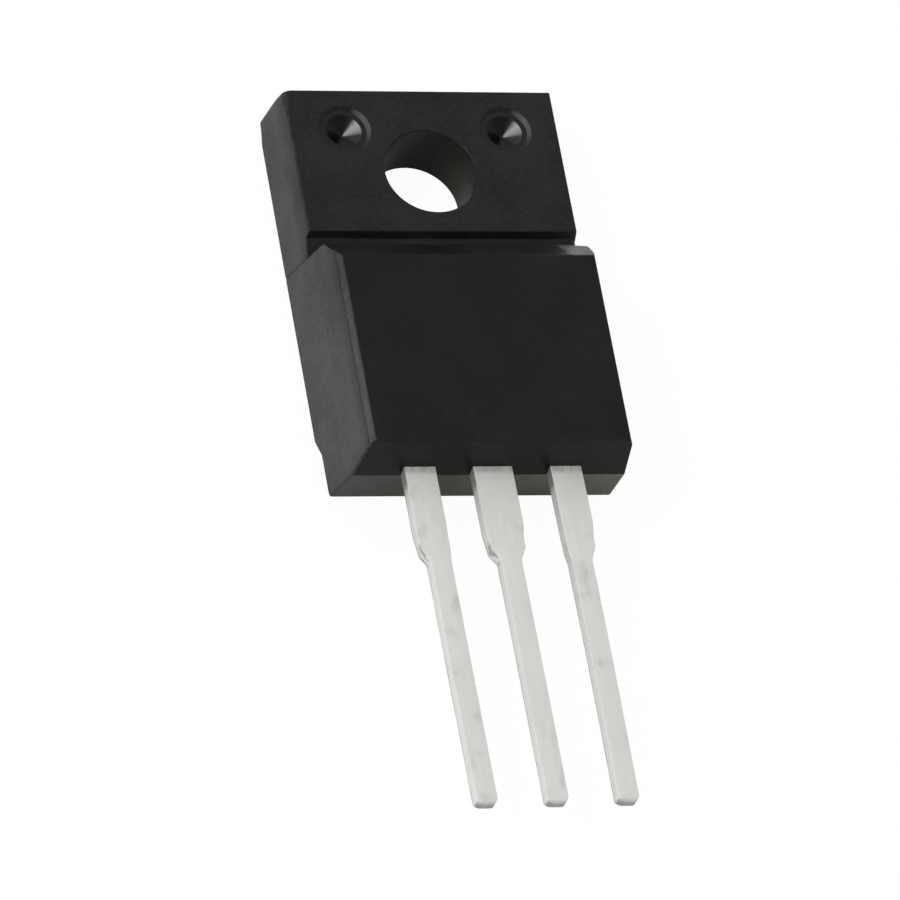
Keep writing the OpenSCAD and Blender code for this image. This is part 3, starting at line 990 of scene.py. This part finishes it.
    def build(self) -> bpy.types.Object:
        """Puts the shell, the hole and the pits together."""
        shell, across, plate = self.shell()
        split = self.plate_split
        middle = rectangle_ring(across[np.abs(across) <= split + HAIR], plate)
        holes = [turned_hole((0.0, 0.0), self.hole_profile(), middle, self.tab_front, 0.0)]
        for side in (-1, 1):
            rim = rectangle_ring(across[side * across >= split - HAIR], plate)
            centre = (side * self.pit_x + self.pit_shift, self.pit_y)
            holes.append(turned_hole(centre, self.pit_profile(), rim, self.tab_front))
        for hole in holes:
            hole.quads = hole.quads[:, ::-1]
        whole = joined([shell, *holes])
        return make_piece("moulded_case", whole, self.finish.material(), "moulding_compound", "moulded_body")


# The leads


@dataclass
class Lead:
    """A stamped lead: a wide root with cut shoulders and a narrow shank.

    Both long edges are lines of place along the lead and place across it. The
    section between them is a rectangle with rounded edges.

    Args:
        name: The piece's name.
        centre: Place of the shank's middle line across the part.
        left: Half width near the body on the left.
        right: Half width near the body on the right.
        start: Where the strip starts inside the moulding.
        node: The CAD node that it stands for.
        post: Inner and outer edge of the bond post, or None.
        bow: How far the shank bends to the right in its middle.
        tip_skew: How much further the tip's left corner draws in than its right.
    """

    name: str
    centre: float
    left: float
    right: float
    start: float
    node: str
    post: Pair | None = None
    bow: float = 0.01
    tip_skew: float = 1.3
    back: float = 2.57
    thickness: float = 0.50
    shank: float = 0.38
    lean: float = 0.10
    right_cuts: tuple[Triple, ...] = ((0.3, -14.6, -15.45), (0.7, -15.6, -16.25))
    left_cuts: tuple[Triple, ...] = ((0.2, -14.9, -15.7), (0.8, -15.7, -16.2))
    cut_band: Band = (-16.5, -14.5)
    end: float = -25.62
    tip_corner: float = 0.20
    tip_squash: float = 0.35
    edge_radius: float = 0.025
    post_top: float = -10.45
    post_bottom: float = -11.75

    def edge(self, wide: float, cuts: tuple[Triple, ...], y: Array) -> Array:
        """Half width along one edge.

        The root falls to the shank in smooth steps, 3t^2 - 2t^3 each, left by
        the two strokes of the tie bar's cutter.

        Args:
            wide: Half width of the root.
            cuts: Share of the fall, start and end of each step.
            y: Places along the lead.

        Returns:
            Half widths at those places.
        """
        fall = np.zeros_like(y)
        for share, start, end in cuts:
            t = np.clip((start - y) / (start - end), 0, 1)
            fall += share * t * t * (3 - 2 * t)
        return wide + (self.shank - wide) * fall

    def build(self, finish: bpy.types.Material) -> bpy.types.Object:
        """Makes the lead's mesh and dresses it."""
        tip = self.end + self.tip_corner
        body = np.unique(np.concatenate([
            np.linspace(self.start, tip, 160), np.linspace(*self.cut_band, 80), [self.start - HOLD]]))[::-1]
        turn = np.linspace(0, math.pi / 2, 10)[1:]
        nose = tip - self.tip_corner * np.sin(turn)
        y = np.concatenate([[self.start], body[body < self.start], nose])
        pull = np.concatenate([np.zeros(len(y) - len(nose)), self.tip_corner * (1 - np.cos(turn))])
        run = np.clip((self.start - y) / (self.start - self.end), 0, 1)
        sway = self.centre + self.lean * run**1.5 + self.bow * np.sin(math.pi * run)
        low = sway - self.edge(self.left, self.left_cuts, y) + self.tip_skew * pull
        high = sway + self.edge(self.right, self.right_cuts, y) - pull
        parts = [self.closed(self.sections(y, low, high, pull))]
        if self.post is not None:
            ends = np.array([self.post_top, self.post_top - HOLD, self.post_bottom + HOLD, self.post_bottom])
            flat = np.zeros(4)
            parts.append(self.closed(self.sections(ends, flat + self.post[0], flat + self.post[1], flat)))
        return make_piece(self.name, joined(parts), finish, "tinned_copper", self.node)

    def sections(self, y: Array, low: Array, high: Array, pull: Array) -> Array:
        """Rounded rectangles between two edges, one at each place along.

        Args:
            y: Places along the lead.
            low: Left edge at each.
            high: Right edge at each.
            pull: How far the tip's rounding has drawn in at each.

        Returns:
            Places by points round the section by three.
        """
        r = np.full(len(y), self.edge_radius)
        squash = self.tip_squash * pull
        z0 = self.back + squash
        z1 = self.back + self.thickness - squash
        arcs = []
        for sx, sz in ((-1, 1), (1, 1), (1, -1), (-1, -1)):
            corner = np.stack([low if sx < 0 else high, z1 if sz > 0 else z0], axis=1)
            on_side = corner - np.stack([0 * r, sz * r], axis=1)
            on_face = corner - np.stack([sx * r, 0 * r], axis=1)
            first, last = (on_side, on_face) if sx * sz < 0 else (on_face, on_side)
            arcs.append(circle_arcs(first, corner, last, 5))
        ring = np.concatenate(arcs, axis=1)
        return np.stack([ring[:, :, 0], np.broadcast_to(y[:, None], ring.shape[:2]), ring[:, :, 1]], axis=2)

    @staticmethod
    def closed(grid: Array) -> Surface:
        """A tube of rings with its two ends drawn together to their middles."""
        first = np.broadcast_to(grid[:1].mean(axis=1, keepdims=True), grid[:1].shape)
        last = np.broadcast_to(grid[-1:].mean(axis=1, keepdims=True), grid[-1:].shape)
        return grid_surface(np.concatenate([first, grid, last]), wrap=True)


@dataclass
class Header:
    """The thick inner pad that carries the die, with two arms beside the hole."""

    half: float = 4.10
    top: float = 2.40
    bottom: float = -9.30
    back: float = 0.55
    front: float = 1.75
    slot: float = 2.40
    chamfer: float = 0.5
    neck_half: float = 0.715
    thickness: float = 0.50
    neck_line: tuple[Pair, ...] = ((-9.10, 1.50), (-9.80, 1.50), (-10.70, 2.82), (-12.40, 2.82))
    neck_radii: tuple[float, ...] = (0, 0.3, 0.3, 0)

    def build(self, finish: bpy.types.Material) -> bpy.types.Object:
        """A plate whose top edge dips round the hole, and the neck to its lead.

        Across the pad the top edge is 2.4 mm high beside the slot and follows
        -sqrt(slot^2 - x^2) inside it.
        """
        x = np.unique(np.concatenate([np.linspace(-self.half, self.half, 83),
                                      np.linspace(-self.slot, self.slot, 97)]))
        dip = -np.sqrt(np.maximum(self.slot**2 - x**2, 0))
        edge = np.where(np.abs(x) < self.slot, dip, self.top)
        low = self.bottom + np.clip(np.abs(x) - self.half + self.chamfer, 0, self.chamfer)
        rows = [(edge, self.back), (low, self.back), (low, self.front), (edge, self.front)]
        ring = np.stack([np.stack([x, ys, np.full_like(x, z)], axis=1) for ys, z in rows], axis=1)
        line = rounded_line(np.array(self.neck_line), np.array(self.neck_radii))
        h = self.thickness / 2
        corners = [(-self.neck_half, -h), (-self.neck_half, h), (self.neck_half, h), (self.neck_half, -h)]
        neck = np.stack([np.stack([np.full(len(line), cx), line[:, 0], line[:, 1] + cz], axis=1)
                         for cx, cz in corners], axis=1)
        whole = joined([Lead.closed(ring), Lead.closed(neck)])
        return make_piece("die_header", whole, finish, "tinned_copper", "header_with_centre_lead")


@dataclass
class InnerParts:
    """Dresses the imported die, its solder and the two bond wires."""

    wire: MetalFinish = MetalFinish("bond_wire_metal", (0.85, 0.86, 0.87, 1), (0.72, 0.73, 0.75, 1), 0.28)
    solder: MetalFinish = MetalFinish("soft_solder", (0.58, 0.58, 0.57, 1), (0.46, 0.46, 0.45, 1), 0.4)
    die: SiliconFinish = SiliconFinish()

    def dress(self, nodes: dict[str, bpy.types.Object]) -> None:
        """Gives each packed inner node its finish."""
        wire = self.wire.material()
        for name, material in (("die", self.die.material()), ("die_solder", self.solder.material()),
                               ("control_bond_wire", wire), ("main_bond_wire", wire)):
            mesh = nodes[name].data
            mesh.materials.clear()
            mesh.materials.append(material)
            LOG.info("%s: packed node with its own finish", name)


# Studio


@dataclass
class Studio:
    """A white floor, one soft lamp and the camera at the viewing angle."""

    place: Triple = (-92.389, -151.844, 242.164)
    right: Triple = (0.95012054, -0.16163167, 0.26673239)
    down: Triple = (-0.00441202, -0.86211243, -0.50669783)
    ahead: Triple = (0.31185173, 0.48024719, -0.81982384)
    lens: float = 336.4568
    sensor: float = 36.0
    shown_share: float = 0.94
    mirrored_share: float = 0.10
    glow: float = 1.02
    floor_white: float = 0.74
    floor_half: float = 1.5
    floor_z: float = -0.00002
    sky: Pair = (0.80, 0.97)
    sky_band: Band = (-0.4, 1.0)
    sky_axis: Triple = (0.15, 0.65, 0.745)
    horizon: float = 0.7
    horizon_band: Band = (0.05, 0.30)
    lamp_way: Triple = (-0.66, 0.0, 0.75)
    lamp_target: Triple = (0.0, -0.008, 0.0)
    lamp_distance: float = 0.6
    lamp_size: float = 0.28
    lamp_radiance: float = 7.0

    def camera(self) -> None:
        """Sets the camera up first, from its three axes and its place."""
        data = bpy.data.cameras.new("view_camera")
        data.sensor_width = self.sensor
        data.lens = self.lens
        data.clip_start = 0.01
        data.clip_end = 10.0
        camera = bpy.data.objects.new("view_camera", data)
        bpy.context.scene.collection.objects.link(camera)
        axes = Matrix((self.right, [-v for v in self.down], [-v for v in self.ahead])).transposed()
        camera.matrix_world = Matrix.Translation(Vector(self.place) * MM) @ axes.to_4x4()
        bpy.context.scene.camera = camera

    def floor(self) -> None:
        """A plain sheet under the part that keeps a light shadow.

        Camera rays, and rays that a gloss or glass sends, see a share of pure
        white added to the lit sheet.
        """
        n = Nodes("floor_white")
        lit = n.add("ShaderNodeBsdfDiffuse", {"Color": (self.floor_white,) * 3 + (1,)})
        glow = n.add("ShaderNodeEmission", {"Color": (1, 1, 1, 1), "Strength": self.glow})
        ray = n.add("ShaderNodeLightPath").outputs
        mirrored = n.math("MAXIMUM", ray["Is Glossy Ray"], ray["Is Transmission Ray"])
        share = n.math("MAXIMUM", n.product(ray["Is Camera Ray"], self.shown_share),
                       n.product(mirrored, self.mirrored_share))
        both = n.add("ShaderNodeMixShader", {0: share, 1: lit.outputs[0], 2: glow.outputs[0]})
        mesh = bpy.data.meshes.new("floor")
        s, z = self.floor_half, self.floor_z
        mesh.from_pydata([(-s, -s, z), (s, -s, z), (s, s, z), (-s, s, z)], [], [(0, 1, 2, 3)])
        mesh.materials.append(n.closed(both))
        floor = bpy.data.objects.new("floor", mesh)
        bpy.context.scene.collection.objects.link(floor)

    def lamp(self) -> None:
        """A square soft lamp at the upper left that faces the part; a radiance of 1 is white."""
        data = bpy.data.lights.new("key_left", "AREA")
        data.shape = "SQUARE"
        data.size = self.lamp_size
        data.energy = self.lamp_radiance * math.pi * self.lamp_size**2
        lamp = bpy.data.objects.new("key_left", data)
        bpy.context.scene.collection.objects.link(lamp)
        away = Vector(self.lamp_way).normalized()
        lamp.location = away * self.lamp_distance + Vector(self.lamp_target)
        lamp.rotation_mode = "QUATERNION"
        lamp.rotation_quaternion = away.to_track_quat("Z", "Y")

    def world(self) -> None:
        """Soft light from all round, a little brighter overhead; white behind the floor."""
        world = bpy.data.worlds.new("soft_room")
        bpy.context.scene.world = world
        world.use_nodes = True
        g = Graph(world.node_tree)
        place = g.add("ShaderNodeTexCoord").outputs["Generated"]
        facing = g.add("ShaderNodeVectorMath", {0: place, 1: self.sky_axis}, operation="DOT_PRODUCT")
        overhead = g.ramp(facing.outputs["Value"], self.sky_band, self.sky)
        above = g.ramp(g.parts(place)[2], self.horizon_band, (self.horizon, 1.0))
        room = g.add("ShaderNodeBackground", {"Strength": g.product(overhead, above)})
        white = g.add("ShaderNodeBackground", {"Strength": 1.0})
        shown = g.add("ShaderNodeLightPath").outputs["Is Camera Ray"]
        both = g.add("ShaderNodeMixShader", {0: shown, 1: room.outputs[0], 2: white.outputs[0]})
        g.add("ShaderNodeOutputWorld", {"Surface": both.outputs[0]})

    def build(self) -> None:
        """Floor, lamp, surroundings and plain colour handling."""
        self.floor()
        self.world()
        self.lamp()
        bpy.context.scene.view_settings.view_transform = "Standard"


def main() -> None:
    """Builds the studio and the part, piece by piece."""
    logging.basicConfig(level=logging.INFO, format="%(name)s %(message)s")
    studio = Studio()
    studio.camera()
    Case().build()
    tin = TinFinish().material()
    Header().build(tin)
    leads = [
        Lead("left_lead_strip", -2.54, 0.69, 0.45, -11.0, "left_lead", (-4.0, -1.6)),
        Lead("centre_lead_strip", 0.0, 0.715, 0.715, -12.2, "header_with_centre_lead", None, 0.035, 1.45),
        Lead("right_lead_strip", 2.54, 0.45, 0.69, -11.0, "right_lead", (1.6, 4.0), 0.065, 1.75),
    ]
    for lead in leads:
        lead.build(tin)
    InnerParts().dress(frame["nodes"])
    studio.build()


if __name__ == "__main__":
    main()
